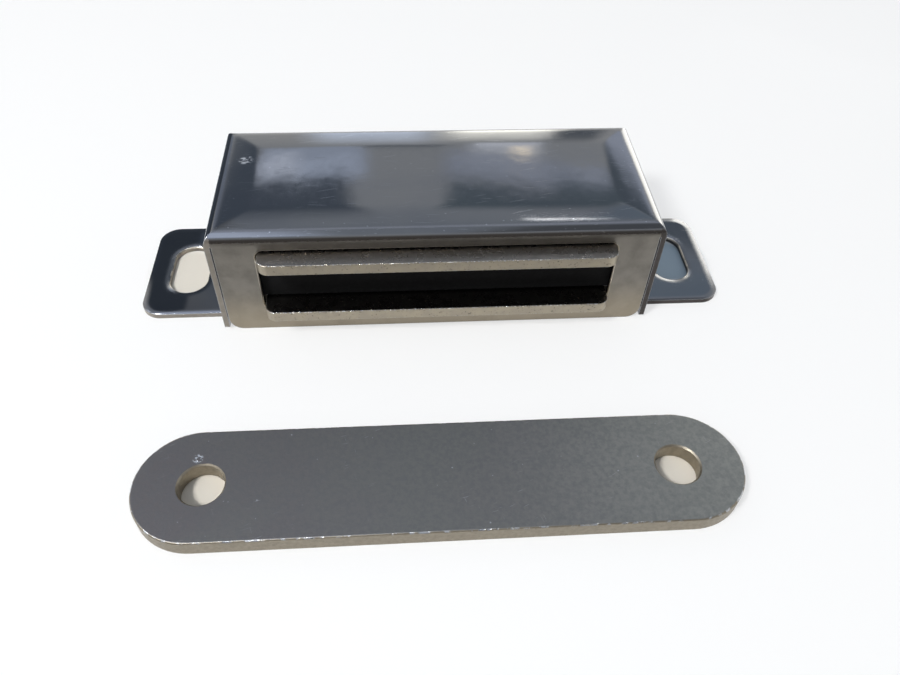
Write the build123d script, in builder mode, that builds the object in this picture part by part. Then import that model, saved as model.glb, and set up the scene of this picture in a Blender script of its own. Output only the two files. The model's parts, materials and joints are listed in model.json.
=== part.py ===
from build123d import *
import os

os.makedirs("parts", exist_ok=True)

# Magnetic catch: a folded steel case with two ears, a floating pack of two pole plates
# round a ferrite magnet, and the loose strike plate that the pack holds.
#
# Frame: the origin is at the foot of the case's front face, on its middle plane.
# +X runs along the case, +Y from the front face to the back, +Z away from the mounting surface.

# ---- driving dimensions, in millimetres

# Case, one folded sheet
sheet = 0.8
case_length = 64.0          # along X, outside
case_depth = 26.2           # along Y, outside
case_height = 18.0          # along Z, outside
bend_inner = 0.9            # inside radius of the bends round the top panel
crown_width = 3.9           # the top panel falls away towards its bends, this far in from the walls
crown_drop = 0.4            # and by this much
crown_radius = 36.0         # where the flat of the panel runs into that fall
seam_gap = 0.15             # open corner seam between a flap and a side wall
flap_corner = 2.0           # rounded foot corners of the flaps
wall_foot = 0.4             # from the mounting surface up to the feet of the side walls

# Ears, turned out at the foot of the side walls, each with a screw slot from front to back
ear_width = 20.2            # along Y
ear_setback = 2.6           # from the front face to the ear
ear_corner = 3.0            # radius of the free corners
ear_bend_inner = 0.5        # inside radius of the bend at the foot of the side wall
relief_width = 0.8          # notches in the side wall, in front of the ear and behind it
relief_rise = 0.2           # from the top of the ear's bend up to the top of the notches
slot_width = 5.8
slot_length = 10.6
slot_offset = 6.8           # from the side wall's face to the slot's middle
slot_edge = 3.3             # sheet left between the slot and the ear's end
slot_rim = 0.3              # rolled edge left by the punch

# Magnet pack
plate_thickness = 1.75
magnet_height = 7.2
pack_drop = 8.6             # from the top of the case down to the pack's middle
pole_reach = 2.75           # how far the pole plates stand out of the front face
pole_length = 50.2          # of the necks that pass through the window
pole_corner = 1.6           # radius of a neck's front corners
tongue_length = 14.0        # of the tongue at the back of each plate
plate_edge = 0.15           # softened edges of the blanked plates
magnet_inset = 0.6          # from the ends of the plates to the ends of the magnet
magnet_chamfer = 0.5        # on the magnet's upright edges

# Fits of the pack in the case
float_travel = 0.3          # how far the pack can shift, each way, from its middle place
stop_clearance = 0.05       # left at each end of that travel
height_clearance = 0.25     # over and under the pack in the window, and round its tongues
end_clearance = 0.3         # beside the necks in the window, and beside the tongues
side_clearance = 0.6        # between the plates' ends and the side walls

# Window in the front flap
window_corner = 1.2
window_rim = 0.3            # rolled edge left by the punch

# Strike plate
strike_length = 77.0
strike_width = 16.0
strike_thickness = 2.5
strike_pitch = 60.0
strike_hole = 5.7
strike_edge = 0.25          # radius of the softened outline
strike_deburr = 0.2         # chamfer of the holes' rims
strike_shift = -0.85        # along X, from the case's middle plane
strike_distance = 28.7      # from the case's front face to the strike's middle

# ---- sizes that follow

bend_outer = bend_inner + sheet
wall_face = case_length / 2             # outside of the side wall
wall_inside = wall_face - sheet
panel_edge = case_height - crown_drop   # level at which the panel's fall would meet the walls
seam_top = panel_edge - bend_outer
ear_bend_outer = ear_bend_inner + sheet
relief_top = ear_bend_outer + relief_rise
ear_middle = ear_setback + ear_width / 2
slot_pitch = case_length + 2 * slot_offset
ear_span = slot_pitch + slot_width + 2 * slot_edge      # over both ears

pack_level = case_height - pack_drop
pack_height = magnet_height + 2 * plate_thickness
lower_plate_level = pack_level - pack_height / 2
magnet_level = lower_plate_level + plate_thickness
upper_plate_level = magnet_level + magnet_height

shoulder_gap = float_travel + stop_clearance
pack_front = sheet + shoulder_gap                   # the shoulders and the magnet's face
pack_back = case_depth - sheet - shoulder_gap
pack_depth = pack_back - pack_front
pack_length = 2 * (wall_inside - side_clearance)

window_length = pole_length + 2 * end_clearance
window_height = pack_height + 2 * height_clearance
tongue_slot_length = tongue_length + 2 * end_clearance
tongue_slot_height = plate_thickness + 2 * height_clearance


# ---- case


def folded_profile(near, far, depth):
    """The case cut across, seen from its end: two walls and a top panel that falls away towards its bends.

    A depth of nothing is its outside, where the panel runs into its fall in a wide curve. The thickness of
    the sheet is its inside, where the two meet in a faint crease.
    """
    with BuildSketch() as profile:
        with BuildLine():
            Polyline(
                (near, -depth), (near, panel_edge), (near + crown_width, case_height),
                (far - crown_width, case_height), (far, panel_edge), (far, -depth), close=True,
            )
        make_face()
        fillet(profile.vertices().group_by(Axis.Y)[1], bend_outer)
        if depth:
            offset(amount=-depth)
        else:
            fillet(profile.vertices().group_by(Axis.Y)[-1], crown_radius)
    return profile.sketch


def folded_block(depth):
    """A solid block with the form of the case at a depth in its sheet, common to profiles both ways."""
    with BuildPart() as block:
        with BuildSketch(Plane.XZ):
            add(folded_profile(-wall_face, wall_face, depth))
        extrude(amount=-case_depth)
        with BuildSketch(Plane.YZ):
            add(folded_profile(0, case_depth, depth))
        extrude(amount=wall_face, both=True, mode=Mode.INTERSECT)
    return block.part


with BuildPart() as housing:
    # The top panel with all four walls turned down, open underneath
    add(folded_block(0))
    add(folded_block(sheet), mode=Mode.SUBTRACT)

    # Corner seams: the front and back flaps stand between the side walls, up to the bends
    with BuildSketch(Plane.XY):
        with Locations((0, case_depth / 2)):
            with GridLocations(2 * wall_inside - seam_gap, case_depth - sheet, 2, 2):
                Rectangle(seam_gap, sheet)
    extrude(amount=seam_top, mode=Mode.SUBTRACT)

    # The side walls end a little above the mounting surface, and are notched round the ears' bends
    with BuildSketch(Plane.XY):
        with Locations((0, case_depth / 2)):
            with GridLocations(case_length - sheet, 0, 2, 1):
                Rectangle(sheet, case_depth)
    extrude(amount=wall_foot, mode=Mode.SUBTRACT)
    with BuildSketch(Plane.XY):
        with Locations((0, ear_middle)):
            with GridLocations(case_length - sheet, 0, 2, 1):
                Rectangle(sheet, ear_width + 2 * relief_width)
    extrude(amount=relief_top, mode=Mode.SUBTRACT)
    flap_feet = housing.edges().filter_by(Axis.Y).group_by(Axis.Z)[0]
    fillet(flap_feet, flap_corner)

    # Ears: the side wall's foot bent outwards
    with BuildSketch(Plane.XZ.offset(-ear_setback)):
        with BuildLine():
            upper_side = FilletPolyline(
                (wall_face, 2 * relief_top), (wall_face, sheet), (ear_span / 2, sheet), radius=ear_bend_inner
            )
            lower_side = FilletPolyline(
                (wall_inside, 2 * relief_top), (wall_inside, 0), (ear_span / 2, 0), radius=ear_bend_outer
            )
            Line(upper_side @ 0, lower_side @ 0)
            Line(upper_side @ 1, lower_side @ 1)
        make_face()
        mirror(about=Plane.YZ)
    extrude(amount=-ear_width)
    ear_corners = housing.edges().filter_by(Axis.Z).group_by(Axis.X)
    fillet(ear_corners[0] + ear_corners[-1], ear_corner)

    # Screw slots across the ears
    with BuildSketch(Plane.XY.offset(sheet)):
        with Locations((0, ear_middle)):
            with GridLocations(slot_pitch, 0, 2, 1):
                SlotOverall(slot_length, slot_width, rotation=90)
    extrude(amount=-sheet, mode=Mode.SUBTRACT)
    upper_rims = housing.edges(Select.LAST).group_by(Axis.Z)[-1]
    fillet(upper_rims, slot_rim)

    # Window for the pole plates' necks
    with BuildSketch(Plane.XZ):
        with Locations((0, pack_level)):
            RectangleRounded(window_length, window_height, window_corner)
    extrude(amount=-sheet, mode=Mode.SUBTRACT)
    front_face = housing.faces().filter_by(Axis.Y).group_by(Axis.Y)[0].sort_by(SortBy.AREA)[-1]
    fillet(front_face.inner_wires()[0].edges(), window_rim)

    # Slots in the back flap for the plates' tongues
    with BuildSketch(Plane.XZ.offset(-case_depth)):
        with Locations((0, pack_level)):
            with GridLocations(0, magnet_height + plate_thickness, 1, 2):
                Rectangle(tongue_slot_length, tongue_slot_height)
    extrude(amount=sheet, mode=Mode.SUBTRACT)

housing.part.label = "housing"
export_step(housing.part, "parts/housing.step")


# ---- magnet pack

plate_levels = {"lower_pole_plate": lower_plate_level, "upper_pole_plate": upper_plate_level}

for plate_name, plate_level in plate_levels.items():
    with BuildPart() as pole_plate:
        # Neck at the front, body with shoulders wider than the window, tongue at the back
        with BuildSketch(Plane.XY.offset(plate_level)):
            with Locations((0, -pole_reach)):
                Rectangle(pole_length, pole_reach + pack_front, align=(Align.CENTER, Align.MIN))
            with Locations((0, pack_front)):
                Rectangle(pack_length, pack_depth, align=(Align.CENTER, Align.MIN))
            with Locations((0, pack_back)):
                Rectangle(tongue_length, case_depth - pack_back, align=(Align.CENTER, Align.MIN))
        extrude(amount=plate_thickness)
        fillet(pole_plate.edges().filter_by(Axis.Z).group_by(Axis.Y)[0], pole_corner)
        flat_faces = pole_plate.faces().filter_by(Axis.Z)
        fillet(flat_faces.edges(), plate_edge)

    pole_plate.part.label = plate_name
    export_step(pole_plate.part, f"parts/{plate_name}.step")

with BuildPart() as magnet:
    with BuildSketch(Plane.XY.offset(magnet_level)):
        with Locations((0, pack_front)):
            Rectangle(pack_length - 2 * magnet_inset, pack_depth, align=(Align.CENTER, Align.MIN))
    extrude(amount=magnet_height)
    chamfer(magnet.edges().filter_by(Axis.Z), magnet_chamfer)

magnet.part.label = "magnet"
export_step(magnet.part, "parts/magnet.step")


# ---- strike plate

with BuildPart() as strike_plate:
    with BuildSketch(Plane(origin=(strike_shift, -strike_distance, 0))):
        SlotOverall(strike_length, strike_width)
    extrude(amount=strike_thickness)
    fillet(strike_plate.faces().filter_by(Axis.Z).edges(), strike_edge)

    # Screw holes, their rims deburred on both faces
    with Locations((strike_shift, -strike_distance, strike_thickness)):
        with GridLocations(strike_pitch, 0, 2, 1):
            Hole(strike_hole / 2)
    chamfer(strike_plate.edges(Select.LAST).filter_by(GeomType.CIRCLE), strike_deburr)

strike_plate.part.label = "strike_plate"
export_step(strike_plate.part, "parts/strike_plate.step")
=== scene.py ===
"""Magnetic catch: the finishes of its steel and ferrite pieces, on a pale floor in soft studio light.

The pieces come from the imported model, which is loaded as the frame. Run as a script, the file finishes
every piece and sets the stage. Everything is in metres, in the frame's own axes: +X runs along the case,
+Y from the window to the back, +Z away from the mounting surface.
"""

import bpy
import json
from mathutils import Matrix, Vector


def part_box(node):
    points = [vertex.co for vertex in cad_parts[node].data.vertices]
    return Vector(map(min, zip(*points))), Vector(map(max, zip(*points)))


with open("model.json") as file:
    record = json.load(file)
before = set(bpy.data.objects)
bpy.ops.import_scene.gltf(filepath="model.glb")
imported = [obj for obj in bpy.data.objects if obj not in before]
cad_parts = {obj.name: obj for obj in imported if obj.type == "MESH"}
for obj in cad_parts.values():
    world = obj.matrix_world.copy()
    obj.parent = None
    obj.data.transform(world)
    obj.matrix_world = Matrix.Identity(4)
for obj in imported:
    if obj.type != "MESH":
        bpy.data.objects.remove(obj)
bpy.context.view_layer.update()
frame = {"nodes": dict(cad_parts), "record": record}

import json
from math import cos, radians, sin, tan

import bpy
from bpy.props import FloatProperty, FloatVectorProperty, PointerProperty
from mathutils import Matrix, Vector

bl_info = {
    "name": "Magnetic Catch",
    "version": (1, 0, 0),
    "blender": (4, 5, 0),
    "location": "3D View > Sidebar > Catch",
    "description": "Finishes a magnetic catch and its strike plate, and sets a pale studio round them",
    "category": "Object",
}

MM = 0.001

# Node settings used again and again
SMOOTH = {"interpolation_type": "SMOOTHSTEP"}
TIMES = {"operation": "MULTIPLY"}
TIMES_PLUS = {"operation": "MULTIPLY_ADD"}
MINUS = {"operation": "SUBTRACT"}
LARGER = {"operation": "MAXIMUM"}
UNSIGNED = {"operation": "ABSOLUTE"}
LIKENESS = {"operation": "DOT_PRODUCT"}
DISTANCE = {"operation": "DISTANCE"}
COLOURS = {"data_type": "RGBA"}

case_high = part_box("housing")[1]
strike_low, strike_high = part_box("strike_plate")

mounts = {mount["name"]: mount for mount in frame["record"]["mounts"]}
left_slot, right_slot = (Vector(mounts[name]["pos_m"]) for name in ("screw_slot_left", "screw_slot_right"))
strike_middle = Vector(mounts["strike_holes"]["pos_m"])
hole_offset = Vector((mounts["strike_holes"]["dims"]["spacing_x_mm"] / 2 * MM, 0, 0))
strike_holes = (strike_middle - hole_offset, strike_middle + hole_offset)

# Sizes of the folded case that its finish follows, the first two of them out from its middle plane
SEAM = 31.1 * MM            # the open corner seams, between the flaps and the side walls
EAR_FLAT = 32.5 * MM        # where the ears run flat, past their bends
BEND_FOOT = 15.9 * MM       # level at which the walls run into the bends round the top panel
SHEET = 0.8 * MM

# The stage
FLOOR_LEVEL = -0.02 * MM    # a hair below the pieces, so that no two faces lie in one plane
KEY_WAY = (-130, 50)        # the key light's bearing and height, in degrees
KEY_DISTANCE = 0.6
KEY_SIZE = 0.11
SENSOR_MM = 36


# ---- colours and nodes


def linear(colour):
    """An sRGB hex colour as linear red, green, blue and alpha."""
    channels = [int(colour[i:i + 2], 16) / 255 for i in (1, 3, 5)]
    return (*(c / 12.92 if c <= 0.04045 else ((c + 0.055) / 1.055) ** 2.4 for c in channels), 1.0)


def add(tree, kind, settings=None, **inputs):
    """Adds a shader node with its settings and fills its inputs, named as Blender does with _ for a space.

    An input takes a value, another node's output, or a node, which gives its first output. A list fills
    the inputs that share one name, in their order.
    """
    node = tree.nodes.new("ShaderNode" + kind)
    for name, value in (settings or {}).items():
        setattr(node, name, value)
    for name, given in inputs.items():
        title = name.replace("_", " ")
        sockets = [socket for socket in node.inputs if socket.enabled and socket.name == title]
        values = given if isinstance(given, list) else [given]
        for socket, value in zip(sockets, values, strict=True):
            if isinstance(value, bpy.types.Node):
                value = next(output for output in value.outputs if output.enabled)
            if isinstance(value, bpy.types.NodeSocket):
                tree.links.new(value, socket)
            else:
                socket.default_value = value
    return node


def new_material(name):
    """An empty material, and its node tree."""
    material = bpy.data.materials.new(name)
    material.use_nodes = True
    material.node_tree.nodes.clear()
    return material, material.node_tree


def overlap(tree, *masks):
    """A mask of where all the given masks meet."""
    found, *others = masks
    for mask in others:
        found = add(tree, "Math", TIMES, Value=[found, mask])
    return found


def layered(tree, base, *layers):
    """A colour with others laid over it in turn, each as strongly as its mask times its share."""
    for mask, share, colour in layers:
        amount = add(tree, "Math", TIMES, Value=[mask, share])
        base = add(tree, "Mix", COLOURS, Factor=amount, A=base, B=colour)
    return base


def summed(tree, base, *parts):
    """A value with masks added to it, each times its own weight."""
    for mask, weight in parts:
        base = add(tree, "Math", TIMES_PLUS, Value=[mask, weight, base])
    return base


def patches(tree, place, size_mm, low, high, detail=2.0, stretch=(1, 1, 1), turn=0, seed=0.0):
    """A soft mask from 0 to 1: noise with features of a real size, cut between two of its levels."""
    turned = add(tree, "Mapping", Vector=place, Rotation=(0, 0, radians(turn)))
    pulled = add(tree, "Mapping", Vector=turned, Scale=stretch)
    noise = add(
        tree, "TexNoise", {"noise_dimensions": "4D"},
        Vector=pulled, W=seed, Scale=1 / (size_mm * MM), Detail=detail, Roughness=0.55,
    )
    return add(tree, "MapRange", SMOOTH, Value=noise.outputs["Fac"], From_Min=low, From_Max=high)


def hairlines(tree, place, length_mm, width_mm, rarity, angles, seed=0.0):
    """A mask of thin, nearly straight scratches on the flats of a piece, in several directions.

    Real ones are a few hundredths of a millimetre wide. They are drawn wider than that, so that they show.
    """
    found = 0.0
    for number, angle in enumerate(angles):
        one_way = patches(
            tree, place, width_mm, rarity, rarity + 0.06, detail=0.0,
            stretch=(width_mm / length_mm, 1, 1), turn=angle, seed=seed + number,
        )
        found = add(tree, "Math", LARGER, Value=[found, one_way])
    return found


def near(tree, place, spot, reach):
    """A mask round one spot, which fades out over the second half of its reach."""
    away = add(tree, "VectorMath", DISTANCE, Vector=[place, spot])
    return add(tree, "MapRange", SMOOTH, Value=away, From_Min=reach, From_Max=reach / 2)


def facing(tree, coordinates, way, low=0.80, high=0.97):
    """A mask of the faces that look one way."""
    alike = add(tree, "VectorMath", LIKENESS, Vector=[coordinates["Normal"], way])
    return add(tree, "MapRange", SMOOTH, Value=alike, From_Min=low, From_Max=high)


def arrises(tree, radius):
    """Normals that round a piece's sharp edges off, and a mask of those edges."""
    rounded = add(tree, "Bevel", Radius=radius)
    alike = add(tree, "VectorMath", LIKENESS, Vector=[rounded, add(tree, "NewGeometry").outputs["Normal"]])
    return rounded, add(tree, "MapRange", SMOOTH, Value=alike, From_Min=0.995, From_Max=0.90)


def size_along(tree, vector, axis):
    """How much of a vector lies along one axis, whichever way it points."""
    return add(tree, "Math", UNSIGNED, Value=add(tree, "SeparateXYZ", Vector=vector).outputs[axis])


def rounded_edge(tree, coordinates, axis, low, high):
    """A mask of modelled edges, where the surface turns from the flats across an axis to the sides."""
    lean = size_along(tree, coordinates["Normal"], axis)
    off_side = add(tree, "MapRange", SMOOTH, Value=lean, From_Min=low, From_Max=high)
    off_flat = add(tree, "MapRange", SMOOTH, Value=lean, From_Min=0.99, From_Max=0.90)
    return overlap(tree, off_side, off_flat)


def rolled_rims(tree, coordinates):
    """A mask of the rolled rims, which get a painted glint: the window's in the front flap, and in patches
    those of the ears' slots.
    """
    place = add(tree, "SeparateXYZ", Vector=coordinates["Object"]).outputs
    in_flap = add(tree, "MapRange", SMOOTH, Value=place["Y"], From_Min=SHEET, From_Max=0.75 * SHEET)
    below_bend = add(
        tree, "MapRange", SMOOTH,
        Value=place["Z"], From_Min=BEND_FOOT - 0.1 * MM, From_Max=BEND_FOOT - 0.3 * MM,
    )
    window = overlap(tree, rounded_edge(tree, coordinates, "Y", 0.05, 0.30), in_flap, below_bend)
    aside = size_along(tree, coordinates["Object"], "X")
    on_ear = add(
        tree, "MapRange", SMOOTH, Value=aside, From_Min=EAR_FLAT + 1.1 * MM, From_Max=EAR_FLAT + 1.2 * MM,
    )
    # The slots' rims get their painted glint only in these patches.
    rubbed = patches(tree, coordinates["Object"], 4, 0.40, 0.60, seed=5.1)
    slots = overlap(tree, rounded_edge(tree, coordinates, "Z", 0.05, 0.30), on_ear, rubbed)
    return add(tree, "Math", LARGER, Value=[window, slots])


def sheared_edges(tree, coordinates):
    """A mask of the sheet's cut edges: the side walls' upright ones, and those of the ears and slots."""
    aside = size_along(tree, coordinates["Object"], "X")
    on_wall = add(tree, "MapRange", SMOOTH, Value=aside, From_Min=SEAM, From_Max=SEAM + 0.02 * MM)
    fore_and_aft = size_along(tree, coordinates["Normal"], "Y")
    fore_and_aft = add(tree, "MapRange", SMOOTH, Value=fore_and_aft, From_Min=0.7, From_Max=0.9)
    wall_edge = overlap(tree, on_wall, fore_and_aft)
    on_ear = add(
        tree, "MapRange", SMOOTH, Value=aside, From_Min=EAR_FLAT - 0.1 * MM, From_Max=EAR_FLAT + 0.1 * MM,
    )
    upright = size_along(tree, coordinates["Normal"], "Z")
    upright = add(tree, "MapRange", SMOOTH, Value=upright, From_Min=0.7, From_Max=0.3)
    ear_edge = overlap(tree, on_ear, upright)
    return add(tree, "Math", LARGER, Value=[wall_edge, ear_edge])


# ---- materials


def bright_rolled_stainless(look):
    """Cold-rolled stainless sheet: nearly a mirror on top, a little wavy, with cloudy film and hairlines.

    Its flaps are a rubbed, stained satin, warmed by a painted reflection of a warm floor, and its sheared
    edges are dull.
    """
    material, tree = new_material("stainless_sheet_bright_rolled")
    coordinates = add(tree, "TexCoord").outputs
    place = coordinates["Object"]
    along = add(tree, "SeparateXYZ", Vector=place).outputs

    # The top panel's slopes flow into one another, as drawn sheet does, and other edges are only broken
    rounded, arris = arrises(tree, look.case_edge_radius)
    crowned = add(tree, "Bevel", {"samples": 8}, Radius=look.crown_flow)
    upper = facing(tree, coordinates, (0, 0, 1), 0.90, 0.99)
    flowing = add(tree, "Mix", {"data_type": "VECTOR"}, Factor=upper, A=rounded, B=crowned)

    # What the rolling, the folding and the handling have left on the sheet
    film = patches(tree, place, 9, 0.40, 0.62, detail=4, stretch=(0.6, 1, 1), seed=3.1)
    grain = patches(tree, place, 0.8, 0.35, 0.70, detail=4, stretch=(1, 0.4, 1), seed=8.4)
    stains = patches(tree, place, 3.2, 0.38, 0.66, detail=5, seed=2.6)
    lines = hairlines(tree, place, 5.0, 0.10, 0.75, (4, -14), seed=4.0)
    dots = patches(tree, place, 0.4, 0.80, 0.84, detail=0, seed=7.7)
    waves = patches(tree, place, 24, 0.2, 0.8, detail=1, seed=5.5)
    ripples = patches(tree, place, 2.6, 0.2, 0.8, detail=1, seed=7.1)
    crumbs = patches(tree, place, 0.35, 0.50, 0.62, detail=3, seed=1.1)
    smudge = patches(tree, place, 0.5, 0.44, 0.58, detail=4, stretch=(0.5, 1, 1), seed=2.7)
    scuff = overlap(tree, near(tree, place, look.scuff_place, 1.3 * MM), smudge)

    # The parts of the case that look unlike its panel
    rim = rolled_rims(tree, coordinates)
    edge = sheared_edges(tree, coordinates)
    flap = facing(tree, coordinates, (0, -1, 0), 0.90, 0.99)
    # The flaps are painted warmer and brighter towards their feet: a painted pool of light.
    foot = add(tree, "MapRange", SMOOTH, Value=along["Z"], From_Min=9 * MM, From_Max=1 * MM)
    # The sheared edges darken towards the right end: painted shade, where the flap keeps the light off the
    # wall's edge.
    shaded = add(
        tree, "MapRange", SMOOTH, Value=along["X"], From_Min=case_high.x / 4, From_Max=case_high.x / 2,
    )

    edge_colour = layered(tree, look.case_edge_colour, (shaded, 1.0, look.case_edge_shade_colour))
    # The flap's warm tint is partly a painted reflection of a warm floor; its stains are the sheet's own.
    flap_colour = layered(
        tree, look.flap_colour, (stains, 0.6, look.flap_stain_colour), (foot, 0.6, look.flap_foot_light_colour),
    )
    # Broken edges (arris) are painted lighter: partly bare metal, partly a painted highlight.
    colour = layered(
        tree, look.case_colour,
        (film, 0.5, look.case_film_colour), (lines, 0.22, look.scratch_and_glint_colour),
        (dots, 0.3, look.scratch_and_glint_colour), (flap, 1.0, flap_colour), (edge, 1.0, edge_colour),
        (scuff, 0.9, look.scratch_and_glint_colour), (arris, 0.6, look.scratch_and_glint_colour), (rim, 0.8, look.rim_glint_colour),
    )
    flap_roughness = summed(tree, 0.24, (stains, 0.10), (grain, 0.06))
    roughness = summed(
        tree, look.case_roughness, (film, 0.02), (grain, 0.02), (edge, 0.3), (scuff, 0.4), (arris, 0.15),
        (flap, flap_roughness), (rim, 0.28),
    )
    height = summed(
        tree, 0.0, (waves, 0.5), (ripples, 0.02), (grain, 0.002), (lines, -0.006), (scuff, 0.02),
        (overlap(tree, flap, crumbs), 0.03),
    )
    bump = add(tree, "Bump", Height=height, Distance=0.25 * MM, Strength=0.5, Normal=flowing)
    shader = add(tree, "BsdfPrincipled", Base_Color=colour, Metallic=1.0, Roughness=roughness, Normal=bump)
    add(tree, "OutputMaterial", Surface=shader)
    return material


def blanked_mild_steel(look):
    """Mild steel blanked from plate: smooth oily flats, and sheared edges that are lighter and pitted."""
    material, tree = new_material("mild_steel_blanked")
    coordinates = add(tree, "TexCoord").outputs
    place = coordinates["Object"]
    along = add(tree, "SeparateXYZ", Vector=place).outputs
    pits = patches(tree, place, 0.30, 0.60, 0.70, seed=1.7)
    mottle = patches(tree, place, 1.3, 0.30, 0.72, detail=5, seed=6.2)
    crumbs = patches(tree, place, 0.30, 0.48, 0.62, seed=3.9)

    # The plates are bright in spots where their edges are worn, partly wear and partly painted glints. Inside
    # the case and low down between one another they are painted dark with the magnet's colour: painted shade.
    edge = rounded_edge(tree, coordinates, "Z", 0.10, 0.40)
    worn_and_glinting = overlap(tree, edge, crumbs)
    upper = facing(tree, coordinates, (0, 0, 1))
    flat = add(tree, "MapRange", SMOOTH, Value=upper, From_Min=0, From_Max=0.5)
    inside = add(tree, "MapRange", SMOOTH, Value=along["Y"], From_Min=0, From_Max=1 * MM)
    low_down = add(tree, "MapRange", SMOOTH, Value=along["Z"], From_Min=10 * MM, From_Max=8 * MM)
    painted_low_shade = overlap(tree, low_down, flat)

    # The sheared edges' warm, light tone is partly bare metal, partly a painted reflection of a warm floor.
    sheared = layered(
        tree, look.pole_edge_colour, (mottle, 0.35, look.pole_colour), (pits, 0.6, look.pit_colour),
    )
    rolled = layered(tree, look.pole_colour, (mottle, 0.35, look.pit_colour))
    colour = layered(
        tree, sheared,
        (flat, 1.0, rolled), (painted_low_shade, 0.65, look.magnet_and_shade_colour), (inside, 0.8, look.magnet_and_shade_colour),
        (worn_and_glinting, 0.9, look.scratch_and_glint_colour),
    )
    roughness = summed(tree, look.pole_roughness, (mottle, 0.10), (flat, -0.12), (edge, -0.10))
    height = summed(tree, 0.0, (pits, -0.12), (mottle, 0.05), (worn_and_glinting, 0.25))
    bump = add(tree, "Bump", Height=height, Distance=0.3 * MM, Strength=0.6)
    shader = add(tree, "BsdfPrincipled", Base_Color=colour, Metallic=1.0, Roughness=roughness, Normal=bump)
    add(tree, "OutputMaterial", Surface=shader)
    return material


def ground_ferrite(look):
    """Sintered ferrite, ground flat: a dense charcoal ceramic with almost no shine, painted near black with
    painted shade.

    Its grain is a few thousandths of a millimetre. It is drawn far coarser than that, so that it shows.
    """
    material, tree = new_material("ferrite_ground")
    place = add(tree, "TexCoord").outputs["Object"]
    grain = patches(tree, place, 0.5, 0.30, 0.75, detail=5, seed=2.2)
    colour = layered(tree, look.magnet_and_shade_colour, (grain, 0.7, look.magnet_grain_colour))
    bump = add(tree, "Bump", Height=grain, Distance=0.03 * MM, Strength=0.5)
    shader = add(
        tree, "BsdfPrincipled", Base_Color=colour, Roughness=0.75, Specular_IOR_Level=0.2, Normal=bump,
    )
    add(tree, "OutputMaterial", Surface=shader)
    return material


def tumbled_plate_steel(look):
    """Thick plate steel, tumbled to a matte satin: finely mottled, with few scratches and bright nicks."""
    material, tree = new_material("plate_steel_tumbled")
    coordinates = add(tree, "TexCoord").outputs
    place = coordinates["Object"]
    mottle = patches(tree, place, 0.55, 0.30, 0.72, detail=5, seed=4.4)
    cloud = patches(tree, place, 16, 0.38, 0.62, seed=9.3)
    handled = patches(tree, place, 9, 0.50, 0.66, seed=0.6)
    lines = overlap(tree, handled, hairlines(tree, place, 2.0, 0.12, 0.78, (-24, -15, 70), seed=1.0))
    dots = patches(tree, place, 0.5, 0.80, 0.84, detail=0, seed=2.3)
    pits = patches(tree, place, 0.5, 0.68, 0.76, seed=6.8)
    dent_marks = patches(tree, place, 0.35, 0.48, 0.56, detail=1, seed=5.2)
    dent = overlap(tree, near(tree, place, look.strike_dent_place, 0.8 * MM), dent_marks)

    # The outer edge is nicked here and there, and gouged in one place, and the holes' rims are not. The nicks
    # and
    # the gouge are painted bright: partly bare metal, partly painted glints.
    nicked = patches(tree, place, 1.1, 0.50, 0.62, detail=4, seed=8.8)
    for hole in strike_holes:
        away = add(tree, "Math", MINUS, Value=[1.0, near(tree, place, hole, 8 * MM)])
        nicked = overlap(tree, nicked, away)
    gouge = near(tree, place, look.strike_gouge_place, 0.9 * MM)
    edge = rounded_edge(tree, coordinates, "Z", 0.10, 0.40)
    nicks = overlap(tree, edge, add(tree, "Math", LARGER, Value=[nicked, gouge]))

    upper = facing(tree, coordinates, (0, 0, 1))
    # The strike is painted darker towards its left end and lighter towards its right end.
    across = add(tree, "SeparateXYZ", Vector=place).outputs["X"]
    leftwards = add(tree, "MapRange", SMOOTH, Value=across, From_Min=0, From_Max=strike_low.x)
    rightwards = add(tree, "MapRange", SMOOTH, Value=across, From_Min=0, From_Max=strike_high.x)
    satin = layered(
        tree, look.strike_colour,
        (leftwards, 1.0, look.strike_left_colour), (rightwards, 1.0, look.strike_right_colour),
        (cloud, 0.5, look.strike_cloud_colour), (mottle, 0.5, look.strike_grain_colour),
        (lines, 0.35, look.scratch_and_glint_colour), (dots, 0.5, look.scratch_and_glint_colour),
        (dent, 1.0, look.scratch_and_glint_colour),
    )
    # The sheared edge's warm, light tone is partly bare metal, partly a painted reflection of a warm floor.
    sheared = layered(
        tree, look.strike_edge_colour, (mottle, 0.2, look.pit_colour), (pits, 0.4, look.pit_colour),
    )
    colour = layered(tree, sheared, (upper, 1.0, satin), (nicks, 1.0, look.scratch_and_glint_colour))
    roughness = summed(
        tree, look.strike_roughness, (mottle, 0.08), (lines, -0.1), (nicks, -0.15), (dent, -0.15),
    )
    height = summed(tree, 0.0, (mottle, 0.10), (lines, -0.2), (dent, -0.5), (nicks, -0.6), (pits, -0.1))
    bump = add(tree, "Bump", Height=height, Distance=0.1 * MM, Strength=0.6)
    shader = add(tree, "BsdfPrincipled", Base_Color=colour, Metallic=1.0, Roughness=roughness, Normal=bump)
    add(tree, "OutputMaterial", Surface=shader)
    return material


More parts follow.
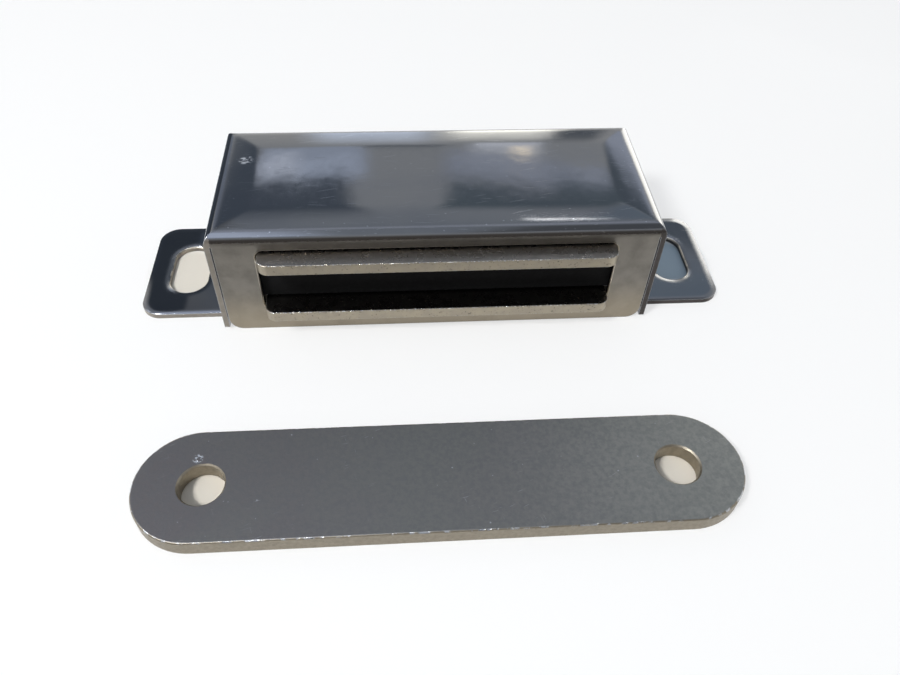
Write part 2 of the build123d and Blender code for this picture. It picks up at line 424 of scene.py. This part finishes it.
def studio_floor(stage):
    """Plain matte board, nearly white where it is seen or mirrored, which keeps the object's shadow.

    It is duller where the object's openings show it: warm, but through the right ear a blue painted shadow.
    """
    material, tree = new_material("floor_board_matte")
    place = add(tree, "TexCoord").outputs["Object"]
    openings = [(hole, 6 * MM, stage.hole_floor_colour) for hole in strike_holes]
    openings += [(left_slot, 8 * MM, stage.hole_floor_colour), (right_slot, 8 * MM, stage.right_slot_shadow_colour)]
    tints = [(near(tree, place, spot.xy.to_3d(), reach), 1.0, tint) for spot, reach, tint in openings]
    tinted = layered(tree, stage.floor_colour, *tints)
    board = add(tree, "BsdfPrincipled", Base_Color=tinted, Roughness=0.9, Specular_IOR_Level=0.1)

    rays = add(tree, "LightPath").outputs
    seen = add(tree, "Math", LARGER, Value=[rays["Is Camera Ray"], rays["Is Glossy Ray"]])
    seen = add(tree, "Math", LARGER, Value=[seen, rays["Is Transmission Ray"]])
    untinted = [add(tree, "Math", MINUS, Value=[1.0, mask]) for mask, _, _ in tints]
    whitened = overlap(tree, seen, stage.floor_white, *untinted)
    white = add(tree, "Emission", Strength=1.0)
    add(tree, "OutputMaterial", Surface=add(tree, "MixShader", Fac=whitened, Shader=[board, white]))
    return material


def lighting_card(name, colour, level, fades):
    """A card that shines evenly, and fades out at its sides, foot and top over those shares of it."""
    material, tree = new_material(name)
    place = add(tree, "TexCoord").outputs["Object"]
    side, foot, top = fades
    aside = size_along(tree, place, "X")
    cover = add(tree, "MapRange", SMOOTH, Value=aside, From_Min=0.5, From_Max=0.5 - side)
    upwards = add(tree, "SeparateXYZ", Vector=place).outputs["Y"]
    for end, share in ((-0.5, foot), (0.5, -top)):
        inside = add(tree, "MapRange", SMOOTH, Value=upwards, From_Min=end, From_Max=end + share)
        cover = overlap(tree, cover, inside)
    shine = add(tree, "Emission", Color=colour, Strength=level)
    clear = add(tree, "BsdfTransparent")
    add(tree, "OutputMaterial", Surface=add(tree, "MixShader", Fac=cover, Shader=[clear, shine]))
    return material


# ---- what a user can change


def colour_choice(name, description, colour):
    """A colour that a user can change."""
    return FloatVectorProperty(
        name=name, description=description, subtype="COLOR", size=4, min=0, max=1, default=linear(colour),
    )


class CatchLook(bpy.types.PropertyGroup):
    """Colours and finishes of the catch's pieces."""

    case_colour: colour_choice("Case", "Clean stainless sheet", "#7E7F81")
    case_film_colour: colour_choice("Case film", "Where handling has dulled the sheet", "#74767B")
    case_edge_colour: colour_choice("Case edges", "Sheared edges of the sheet", "#9C968D")
    case_edge_shade_colour: colour_choice("Case edges, grimed", "Darker sheared edges of the right end", "#5A5654")
    rim_glint_colour: colour_choice("Window rim", "Rolled rim of the front flap's window", "#CFC6B5")
    flap_colour: colour_choice("Flaps", "Rubbed sheet of the front flap", "#7F7B74")
    flap_foot_light_colour: colour_choice("Flap foot", "Warmer, brighter metal at the flaps' feet", "#A89D89")
    flap_stain_colour: colour_choice("Flap stains", "Duller stains on the flaps", "#6B6862")
    scratch_and_glint_colour: colour_choice("Scratches", "Bare metal in scratches, nicks and worn edges", "#C9CCD0")
    pit_colour: colour_choice("Pits", "Dark pits and mottle in plate steel", "#4A4640")
    pole_colour: colour_choice("Pole plates", "Flats of the mild steel, as rolled", "#948F89")
    pole_edge_colour: colour_choice("Pole plates' edges", "Sheared edges of the mild steel", "#A89F8D")
    magnet_and_shade_colour: colour_choice("Magnet", "Ground ferrite", "#0C0C0D")
    magnet_grain_colour: colour_choice("Magnet's grain", "Lighter grains of the ferrite", "#141415")
    strike_colour: colour_choice("Strike plate", "Tumbled plate steel", "#7A7875")
    strike_left_colour: colour_choice("Strike plate, left", "Duller metal at its left end", "#74706F")
    strike_right_colour: colour_choice("Strike plate, right", "Brighter metal at its right end", "#92928B")
    strike_cloud_colour: colour_choice("Strike plate, clouded", "Greener patches of the strike", "#7A7B75")
    strike_grain_colour: colour_choice("Strike plate's grain", "Darker grains of the tumbled face", "#66686A")
    strike_edge_colour: colour_choice("Strike plate's edges", "Metal round the strike plate", "#989081")
    case_edge_radius: FloatProperty(
        name="Case edge radius", description="Softening of the sheet's sheared edges", unit="LENGTH",
        default=0.22 * MM,
    )
    crown_flow: FloatProperty(
        name="Crown flow", description="How far the top panel's slopes flow into one another", unit="LENGTH",
        default=1.4 * MM,
    )
    scuff_place: FloatVectorProperty(
        name="Scuff", description="Middle of the scuff on the top panel", subtype="TRANSLATION", size=3,
        default=(-27.9 * MM, 17.4 * MM, case_high.z),
    )
    strike_dent_place: FloatVectorProperty(
        name="Dent", description="Middle of the dented spot beside the strike's left hole",
        subtype="TRANSLATION", size=3, default=(-31.75 * MM, -24.9 * MM, strike_high.z),
    )
    strike_gouge_place: FloatVectorProperty(
        name="Gouge", description="Middle of the bright gouge on the strike's front edge",
        subtype="TRANSLATION", size=3, default=(-3.7 * MM, -36.6 * MM, strike_high.z),
    )
    case_roughness: FloatProperty(
        name="Case roughness", description="Roughness of the clean sheet", min=0, max=1, default=0.05,
    )
    pole_roughness: FloatProperty(
        name="Pole plate roughness", description="Roughness of the mild steel", min=0, max=1, default=0.36,
    )
    strike_roughness: FloatProperty(
        name="Strike roughness", description="Roughness of the strike plate", min=0, max=1, default=0.40,
    )


class CatchStage(bpy.types.PropertyGroup):
    """The floor, the light and the camera."""

    floor_size: FloatProperty(
        name="Floor", description="Side of the floor", unit="LENGTH", min=0.5, default=6.0,
    )
    floor_colour: colour_choice("Floor colour", "Pale matte board", "#F4F4F3")
    floor_white: FloatProperty(
        name="Floor white", description="How far the floor is whitened where it is seen or mirrored", min=0,
        max=1, default=0.6,
    )
    hole_floor_colour: colour_choice("Floor in openings", "The floor as most openings show it", "#E0D9CC")
    right_slot_shadow_colour: colour_choice("Floor in right slot", "The floor through the right ear", "#A8B9C5")
    horizon_colour: colour_choice("Horizon", "The studio's pale walls", "#FAF9F7")
    ceiling_colour: colour_choice("Ceiling", "The studio's greyer ceiling", "#BEC6D2")
    shade_level: FloatProperty(
        name="Shade", description="How much of the studio's light reaches matte surfaces", min=0, max=1,
        default=0.75,
    )
    key_power: FloatProperty(
        name="Key light", description="Power of the soft key light", unit="POWER", min=0, default=2.6,
    )
    camera_place: FloatVectorProperty(
        name="Camera", description="Where the camera stands", subtype="TRANSLATION", size=3,
        default=(-5.78 * MM, -81.2 * MM, 85.15 * MM),
    )
    camera_heading: FloatProperty(
        name="Heading", description="Turn of the view from straight ahead, to the right", subtype="ANGLE",
        default=radians(5.44),
    )
    camera_pitch: FloatProperty(
        name="Pitch", description="How far the view looks down", subtype="ANGLE", default=radians(47.385),
    )
    camera_roll: FloatProperty(
        name="Roll", description="Tilt of the view about its own line", subtype="ANGLE",
        default=radians(2.205),
    )
    camera_lens: FloatProperty(
        name="Lens", description="Focal length on a 36 mm sensor, in millimetres", min=1, default=30.77,
    )


# ---- operators


def finish_nodes(names, material):
    """Gives CAD nodes their finish, in their own material slots."""
    for name in names:
        node = frame["nodes"][name]
        if not node.material_slots:
            node.data.materials.append(material)
        for slot in node.material_slots:
            slot.material = material


class CATCH_OT_finish_case(bpy.types.Operator):
    """Finish the folded case in bright rolled stainless sheet"""

    bl_idname = "catch.finish_case"
    bl_label = "Finish Case"

    def execute(self, context):
        finish_nodes(["housing"], bright_rolled_stainless(context.scene.catch_look))
        return {"FINISHED"}


class CATCH_OT_finish_pole_plates(bpy.types.Operator):
    """Finish both pole plates in blanked mild steel"""

    bl_idname = "catch.finish_pole_plates"
    bl_label = "Finish Pole Plates"

    def execute(self, context):
        finish_nodes(["upper_pole_plate", "lower_pole_plate"], blanked_mild_steel(context.scene.catch_look))
        return {"FINISHED"}


class CATCH_OT_finish_magnet(bpy.types.Operator):
    """Finish the magnet in ground ferrite"""

    bl_idname = "catch.finish_magnet"
    bl_label = "Finish Magnet"

    def execute(self, context):
        finish_nodes(["magnet"], ground_ferrite(context.scene.catch_look))
        return {"FINISHED"}


class CATCH_OT_finish_strike(bpy.types.Operator):
    """Finish the strike plate in tumbled plate steel"""

    bl_idname = "catch.finish_strike"
    bl_label = "Finish Strike Plate"

    def execute(self, context):
        finish_nodes(["strike_plate"], tumbled_plate_steel(context.scene.catch_look))
        return {"FINISHED"}


def direction(azimuth, elevation):
    """The unit vector towards a compass bearing, measured from +Y towards +X, and a height, in degrees."""
    a, e = radians(azimuth), radians(elevation)
    return Vector((sin(a) * cos(e), cos(a) * cos(e), sin(e)))


def hang_card(name, place, outward, width, height, level, colour, fades):
    """Hangs a card that shows only in reflections, with its middle at a place and square to a direction."""
    bpy.ops.mesh.primitive_plane_add(size=1, location=(0, 0, 0))
    card = bpy.context.object
    card.name = name
    card.matrix_world = (
        Matrix.Translation(place)
        @ Vector(outward).to_track_quat("Z", "Y").to_matrix().to_4x4()
        @ Matrix.Diagonal((width, height, 1, 1))
    )
    card.data.materials.append(lighting_card(name + "_card", linear(colour), level, fades))
    card.visible_camera = False
    card.visible_diffuse = False
    card.visible_shadow = False


def hang_by_bearing(name, bearings, heights, distance, level, colour, fades):
    """Hangs a card at a distance, from one bearing to another and one height to another, in degrees."""
    bearing, height = sum(bearings) / 2, sum(heights) / 2
    outward = direction(bearing, height)
    wide = 2 * distance * tan(radians(bearings[1] - bearings[0]) / 2) * cos(radians(height))
    tall = 2 * distance * tan(radians(heights[1] - heights[0]) / 2)
    hang_card(name, outward * distance, outward, wide, tall, level, colour, fades)


# The dark and the bright things round the table that polished steel shows, in metres and degrees. Each row
# holds the card's name, bearings, heights, distance, level and colour, and its fades at sides, foot and top.
CARDS_BY_BEARING = (
    # Dark things that the front half of the top panel shows, some of which reach down into its back half
    ("left_shade", (-34, -2.2), (35.7, 49.8), 2.7, 0.29, "#D2E5FF", (0.08, 0.06, 0.75)),
    ("left_low_shade", (-17, -8.6), (34.7, 38), 2.68, 0.29, "#D2E5FF", (0.15, 0.35, 0.1)),
    ("left_column", (-36, -11.2), (22, 38), 2.75, 0.29, "#D2E5FF", (0.13, 0.7, 0.1)),
    ("right_shade", (3.4, 23), (36, 46), 2.7, 0.37, "#D2E8FA", (0.1, 0.1, 0.6)),
    ("right_low_shade", (13.5, 25), (34.9, 38), 2.68, 0.37, "#D2E8FA", (0.2, 0.3, 0.1)),
    ("right_corner_shade", (18.5, 38), (29.3, 38), 2.72, 0.34, "#D2E5FA", (0.15, 0.42, 0.1)),
    ("right_ear_shade", (20.5, 36), (37, 50), 2.75, 0.60, "#D2E5FA", (0.2, 0.2, 0.2)),
    # Bright things that its left bend and its back half show, with a grey gap in the middle
    ("left_bend_glow", (-38, -25), (12, 32), 2.6, 0.6, "#DCE8FF", (0.2, 0.2, 0.3)),
    ("left_glow", (-12.6, -2), (32, 36.2), 2.8, 1.15, "#DCE8FF", (0.15, 0.1, 0.2)),
    ("left_band_glow", (-11, -2.6), (34, 35.9), 2.79, 1.45, "#DCE8FF", (0.25, 0.3, 0.3)),
    ("left_high_glow", (-14, -7.5), (33, 36.3), 2.78, 1.75, "#E6EEFF", (0.4, 0.2, 0.4)),
    ("right_glow", (3.5, 22), (34, 36.4), 2.8, 1.0, "#E2EBFF", (0.1, 0.2, 0.3)),
    ("right_high_glow", (5.5, 14), (30, 34.6), 2.8, 1.75, "#EEF2FC", (0.25, 0.1, 0.3)),
    ("middle_shade", (-4, 5.5), (31, 34.2), 2.74, 0.5, "#DCE6F2", (0.25, 0.3, 0.5)),
    ("warm_spot", (9.6, 13.1), (32.8, 34.5), 2.65, 3.2, "#FFEFD6", (0.5, 0.5, 0.5)),
    ("right_edge_glow", (20, 34), (24, 35), 2.8, 1.15, "#E2EBFF", (0.1, 0.1, 0.3)),
    # Low things that the panel's fall towards its back shows
    ("back_left_glow", (-8.3, 4.4), (6, 33), 2.9, 2.1, "#E4EEFF", (0.3, 0.1, 0.45)),
    ("back_glow", (2.6, 14.2), (3, 31), 2.85, 4.7, "#FFFCF0", (0.3, 0.1, 0.6)),
    ("back_right_shade", (12.4, 17.4), (15, 33.5), 2.75, 0.34, "#D8E4F4", (0.3, 0.2, 0.6)),
    # A thin bright strip for the panel's fall towards its front, and what the left ear and corner show
    ("streak", (12.8, 25.6), (47.2, 48.3), 2.5, 13.0, "#FFFFFF", (0.4, 0.4, 0.4)),
    ("left_ear_shade", (-36, -17), (39.5, 52), 2.6, 0.40, "#E2E8F2", (0.2, 0.2, 0.2)),
    ("corner_glow", (-102, -80), (22, 44), 2.8, 4.0, "#EAF1FF", (0.2, 0.2, 0.2)),
    # The dark room behind the camera, for the front flap, the window and the plates' edges
    ("front_shade", (105, 255), (-3, 44), 0.25, 0.18, "#FFF2E6", (0.05, 0.02, 0.5)),
)

# The same for cards that hang at a place, with that place, the way outwards from it, width and height.
CARDS_BY_PLACE = (
    # Close by, behind the object at its right, for the right bend
    ("right_sun", (0.096, 0.089, 0.031), (0.64, 0.77, 0), 0.056, 0.062, 3.6, "#FFFCF4", (0.1, 0.02, 0.15)),
    # Overhead, for the bend along the front of the panel
    ("zenith_strip", (0.1, 0.66, 2.3), (0, 0, 1), 2.8, 0.7, 1.05, "#E8EEFF", (0.1, 0.3, 0.3)),
    ("left_ceiling", (-0.8, -0.9, 2.2), (0, 0, 1), 1.3, 3.2, 1.9, "#E0EAFF", (0.3, 0.3, 0.2)),
    ("right_ceiling_shade", (0.9, -1.2, 2.1), (0, 0, 1), 1.5, 3.0, 0.3, "#E4EAF4", (0.2, 0.2, 0.15)),
    # Close by, in front of the object, and behind it at its left
    ("front_board", (0, -0.062, 0.009), (0, -1, 0), 0.180, 0.018, 0.14, "#FFF2E6", (0.05, 0.02, 0.2)),
    ("left_flag", (-0.048, 0.060, 0.0135), (-1, 0, 0), 0.100, 0.027, 0.15, "#D2E5FF", (0.05, 0.02, 0.1)),
)


class CATCH_OT_set_stage(bpy.types.Operator):
    """Lay the pale floor, hang the soft light and stand the camera"""

    bl_idname = "catch.set_stage"
    bl_label = "Set Stage"

    def execute(self, context):
        stage = context.scene.catch_stage
        self.lay_floor(stage)
        self.light_world(context, stage)
        self.light_key(stage)
        for row in CARDS_BY_BEARING:
            hang_by_bearing(*row)
        for row in CARDS_BY_PLACE:
            hang_card(*row)
        self.stand_camera(context, stage)
        return {"FINISHED"}

    def lay_floor(self, stage):
        bpy.ops.mesh.primitive_plane_add(size=stage.floor_size, location=(0, 0, FLOOR_LEVEL))
        floor = bpy.context.object
        floor.name = "floor"
        floor.data.materials.append(studio_floor(stage))

    def light_world(self, context, stage):
        """A plain studio: pale walls, which turn to a greyer ceiling between 10 and 58 degrees up."""
        world = bpy.data.worlds.new("studio")
        context.scene.world = world
        world.use_nodes = True
        tree = world.node_tree
        tree.nodes.clear()
        upwards = add(tree, "SeparateXYZ", Vector=add(tree, "TexCoord").outputs["Generated"]).outputs["Z"]
        ceiling = add(tree, "MapRange", SMOOTH, Value=upwards, From_Min=0.18, From_Max=0.85)
        colour = add(tree, "Mix", COLOURS, Factor=ceiling, A=stage.horizon_colour, B=stage.ceiling_colour)
        matte = add(tree, "LightPath").outputs["Is Diffuse Ray"]
        level = add(tree, "MapRange", Value=matte, To_Min=1.0, To_Max=stage.shade_level)
        add(tree, "OutputWorld", Surface=add(tree, "Background", Color=colour, Strength=level))

    def light_key(self, stage):
        outward = direction(*KEY_WAY)
        bpy.ops.object.light_add(type="AREA", location=outward * KEY_DISTANCE)
        key = bpy.context.object
        key.name = "key_light"
        key.rotation_euler = outward.to_track_quat("Z", "Y").to_euler()
        key.data.shape = "DISK"
        key.data.size = KEY_SIZE
        key.data.energy = stage.key_power

    def stand_camera(self, context, stage):
        turn = (
            Matrix.Rotation(-stage.camera_heading, 4, "Z")
            @ Matrix.Rotation(radians(90) - stage.camera_pitch, 4, "X")
            @ Matrix.Rotation(stage.camera_roll, 4, "Z")
        )
        bpy.ops.object.camera_add()
        camera = context.object
        camera.name = "camera"
        camera.matrix_world = Matrix.Translation(stage.camera_place) @ turn
        camera.data.sensor_width = SENSOR_MM
        camera.data.lens = stage.camera_lens
        camera.data.clip_start = 1 * MM
        context.scene.camera = camera


class CATCH_PT_tools(bpy.types.Panel):
    """The catch's operators, colours and stage, in the 3D view's sidebar"""

    bl_label = "Magnetic Catch"
    bl_idname = "CATCH_PT_tools"
    bl_space_type = "VIEW_3D"
    bl_region_type = "UI"
    bl_category = "Catch"

    def draw(self, context):
        for operator in OPERATORS:
            self.layout.operator(operator.bl_idname)
        for group in (context.scene.catch_look, context.scene.catch_stage):
            column = self.layout.column(align=True)
            for name in group.__annotations__:
                column.prop(group, name)


OPERATORS = (
    CATCH_OT_finish_case,
    CATCH_OT_finish_pole_plates,
    CATCH_OT_finish_magnet,
    CATCH_OT_finish_strike,
    CATCH_OT_set_stage,
)
CLASSES = (CatchLook, CatchStage, *OPERATORS, CATCH_PT_tools)


def register():
    for cls in CLASSES:
        bpy.utils.register_class(cls)
    bpy.types.Scene.catch_look = PointerProperty(type=CatchLook)
    bpy.types.Scene.catch_stage = PointerProperty(type=CatchStage)


def unregister():
    del bpy.types.Scene.catch_stage
    del bpy.types.Scene.catch_look
    for cls in reversed(CLASSES):
        bpy.utils.unregister_class(cls)


def main():
    register()
    bpy.context.scene.view_settings.view_transform = "Standard"
    bpy.ops.object.select_all(action="DESELECT")
    bpy.ops.catch.finish_case()
    bpy.ops.catch.finish_pole_plates()
    bpy.ops.catch.finish_magnet()
    bpy.ops.catch.finish_strike()
    bpy.ops.catch.set_stage()


if __name__ == "__main__":
    main()
